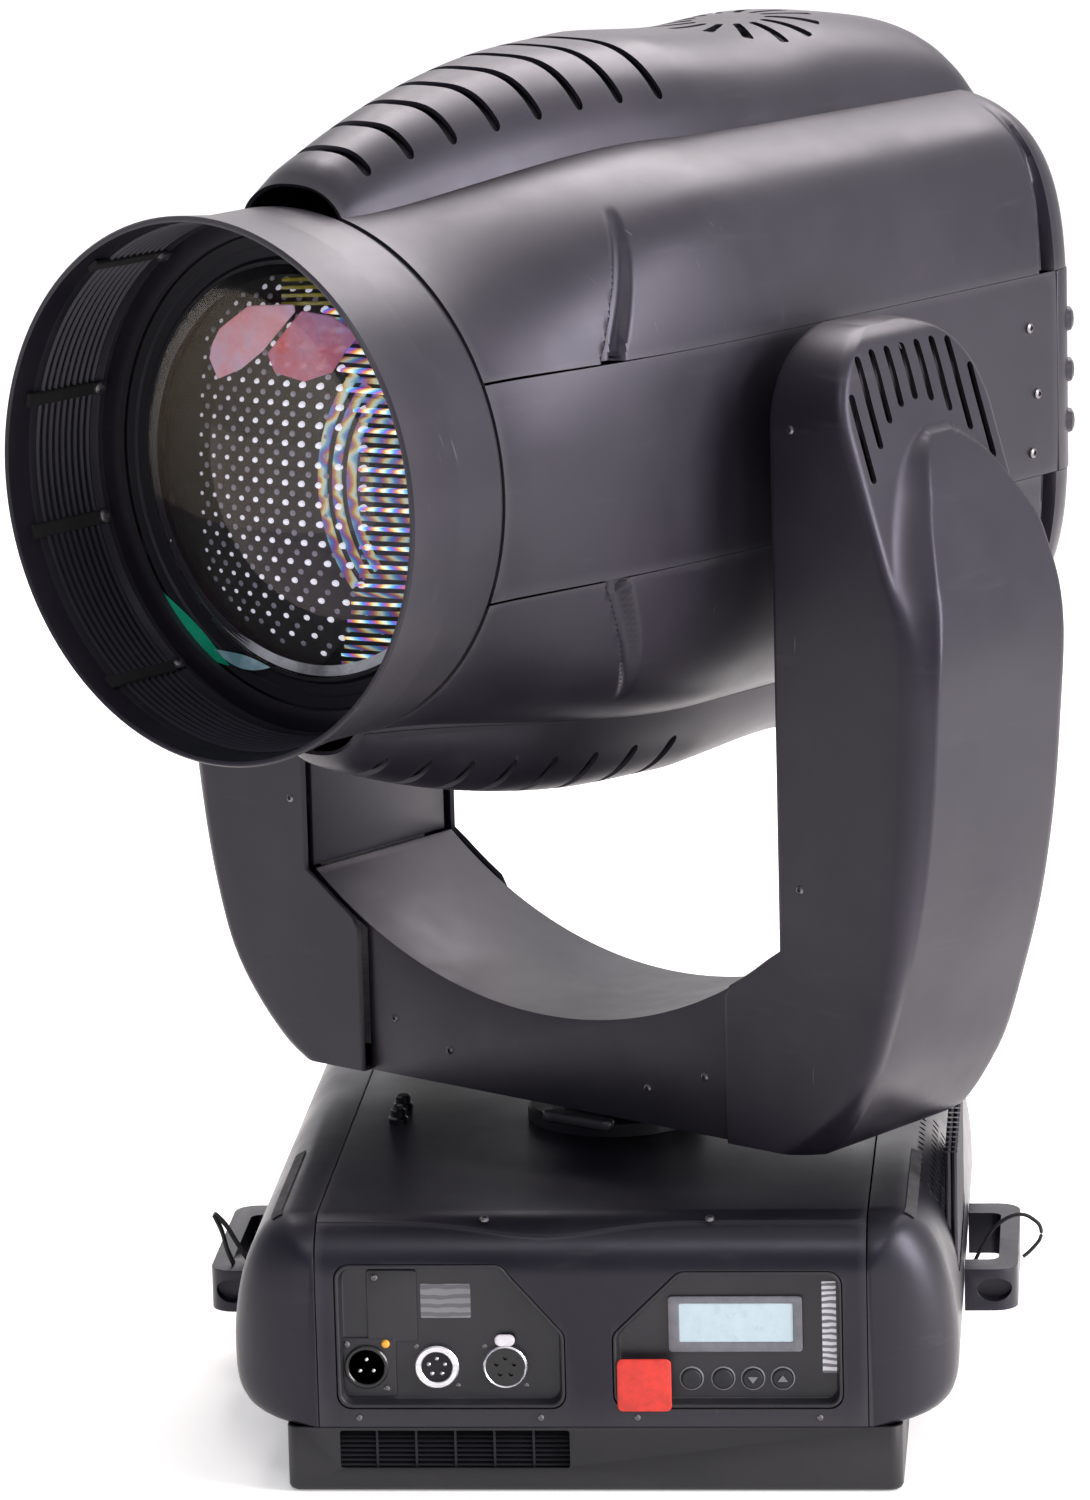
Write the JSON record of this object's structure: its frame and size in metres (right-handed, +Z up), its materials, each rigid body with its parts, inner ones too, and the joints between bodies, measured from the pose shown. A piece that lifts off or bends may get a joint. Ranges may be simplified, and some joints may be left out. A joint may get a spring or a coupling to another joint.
{
  "type": "moving head light",
  "caption": "Moving head stage light: a base with control panels, a yoke that pans on it, and a hooded lamp head that tilts between the yoke's arms.",
  "frame": {"origin": "on the pan axis, at the underside of the base", "axes": "+Z up along the pan axis, -Y out of the base's control panels, +X to the right when facing the panels"},
  "size_m": [0.5618, 0.6258, 0.7601],
  "materials": {
    "black_plastic": "satin moulded, mauve-grey sheen, scuffed",
    "black_paint": "satin powder coat",
    "steel": "brushed",
    "aluminium": "machined",
    "rubber": "matte",
    "circuit_board": "solder mask",
    "panel_paint": "matte charcoal",
    "display_bezel": "satin grey",
    "white_plastic": "gloss",
    "clear_glass": "polished, coated",
    "colour_glass": "dichroic"
  },
  "bodies": {
    "base": {"base_chassis": "black_paint", "air_intake_grille": "black_paint", "base_centre_cover": "black_plastic", "base_side_cover_left": "black_plastic", "base_side_cover_right": "black_plastic", "connector_panel": "panel_paint", "display_panel": "panel_paint", "display_module": "display_bezel", "aux_connector": "steel", "data_input_connector": "steel", "data_output_connector": "steel", "handle_left": "black_plastic", "handle_right": "black_plastic", "handle_tether_loop": "rubber", "power_supply": "aluminium", "control_board": "circuit_board", "pan_hub": "black_paint", "pan_pulley": "aluminium", "mains_cable_gland": "rubber"},
    "yoke": {"yoke_frame": "steel", "pan_bearing": "steel", "crossbar_cover": "black_plastic", "arm_cover_left": "black_plastic", "arm_cover_right": "black_plastic", "arm_inner_cover_left": "black_plastic", "arm_inner_cover_right": "black_plastic", "tilt_bearing_left": "steel", "tilt_bearing_right": "steel", "pan_motor": "steel", "pan_belt": "rubber", "tilt_motor": "steel", "tilt_belt": "rubber"},
    "head": {"head_chassis": "black_paint", "head_cover_top": "black_plastic", "head_cover_bottom": "black_plastic", "head_side_panel_left": "black_plastic", "head_side_panel_right": "black_plastic", "head_rear_panel": "black_plastic", "tilt_shaft_left": "steel", "tilt_shaft_right": "steel", "tilt_pulley": "aluminium", "lens_hood": "black_plastic", "lens_ring": "black_paint", "front_lens": "clear_glass", "zoom_rail": "steel", "lamp_reflector": "clear_glass", "lamp": "clear_glass", "lamp_socket": "steel"},
    "pan_motor_rotor": {"pan_motor_pulley": "aluminium"},
    "tilt_motor_rotor": {"tilt_motor_pulley": "aluminium"},
    "pan_lock": {"pan_lock_lever": "black_paint"},
    "zoom": {"zoom_carriage": "black_paint", "lens_array": "clear_glass"},
    "colour_wheel": {"colour_wheel": "colour_glass"},
    "rear_fan": {"rear_fan_rotor": "black_plastic"},
    "release_tab": {"connector_release_tab": "white_plastic"},
    "button_1": {"menu_button_1": "rubber"},
    "button_2": {"menu_button_2": "rubber"},
    "button_3": {"menu_button_3": "rubber"},
    "button_4": {"menu_button_4": "rubber"}
  },
  "joints": [
    {"name": "pan", "type": "hinge", "parent": "base", "child": "yoke", "pos_m": [0, 0, 0.16], "axis": [0, 0, 1], "range_deg": [-234.4, 305.6]},
    {"name": "tilt", "type": "hinge", "parent": "yoke", "child": "head", "pos_m": [0, 0, 0.5546], "axis": [-0.8131, 0.5821, 0], "range_deg": [-45, 225]},
    {"name": "pan_motor_spin", "type": "hinge", "parent": "yoke", "child": "pan_motor_rotor", "pos_m": [-0.08944, 0.06403, 0.189], "axis": [0, 0, 1], "range_deg": [-1530, 1175]},
    {"name": "tilt_motor_spin", "type": "hinge", "parent": "yoke", "child": "tilt_motor_rotor", "pos_m": [0.15856, -0.11351, 0.43], "axis": [-0.8131, 0.5821, 0], "range_deg": [-226, 1126]},
    {"name": "pan_lock_swing", "type": "hinge", "parent": "yoke", "child": "pan_lock", "pos_m": [-0.029, -0.05426, 0.1635], "axis": [0, 0, -1], "range_deg": [0, 35]},
    {"name": "zoom_slide", "type": "slide", "parent": "head", "child": "zoom", "axis": [0.5821, 0.8131, 0], "range_m": [-0.006, 0.15]},
    {"name": "colour_wheel_spin", "type": "hinge", "parent": "head", "child": "colour_wheel", "pos_m": [0.03493, 0.04879, 0.6326], "axis": [0.5821, 0.8131, 0], "continuous": true},
    {"name": "rear_fan_spin", "type": "hinge", "parent": "head", "child": "rear_fan", "pos_m": [0.12923, 0.18051, 0.5546], "axis": [0.5821, 0.8131, 0], "continuous": true},
    {"name": "release_tab_press", "type": "slide", "parent": "base", "child": "release_tab", "axis": [0, 1, 0], "range_m": [0, 0.0012], "stiffness_N_per_m": 400, "springref_m": -0.001},
    {"name": "menu_button_1_press", "type": "slide", "parent": "base", "child": "button_1", "axis": [0, 1, 0], "range_m": [0, 0.001], "stiffness_N_per_m": 500, "springref_m": -0.001},
    {"name": "menu_button_2_press", "type": "slide", "parent": "base", "child": "button_2", "axis": [0, 1, 0], "range_m": [0, 0.001], "stiffness_N_per_m": 500, "springref_m": -0.001},
    {"name": "menu_button_3_press", "type": "slide", "parent": "base", "child": "button_3", "axis": [0, 1, 0], "range_m": [0, 0.001], "stiffness_N_per_m": 500, "springref_m": -0.001},
    {"name": "menu_button_4_press", "type": "slide", "parent": "base", "child": "button_4", "axis": [0, 1, 0], "range_m": [0, 0.001], "stiffness_N_per_m": 500, "springref_m": -0.001}
  ],
  "couplings": [
    {"joint": "pan_motor_spin", "follows": "pan", "ratio": -5},
    {"joint": "tilt_motor_spin", "follows": "tilt", "ratio": 5}
  ]
}
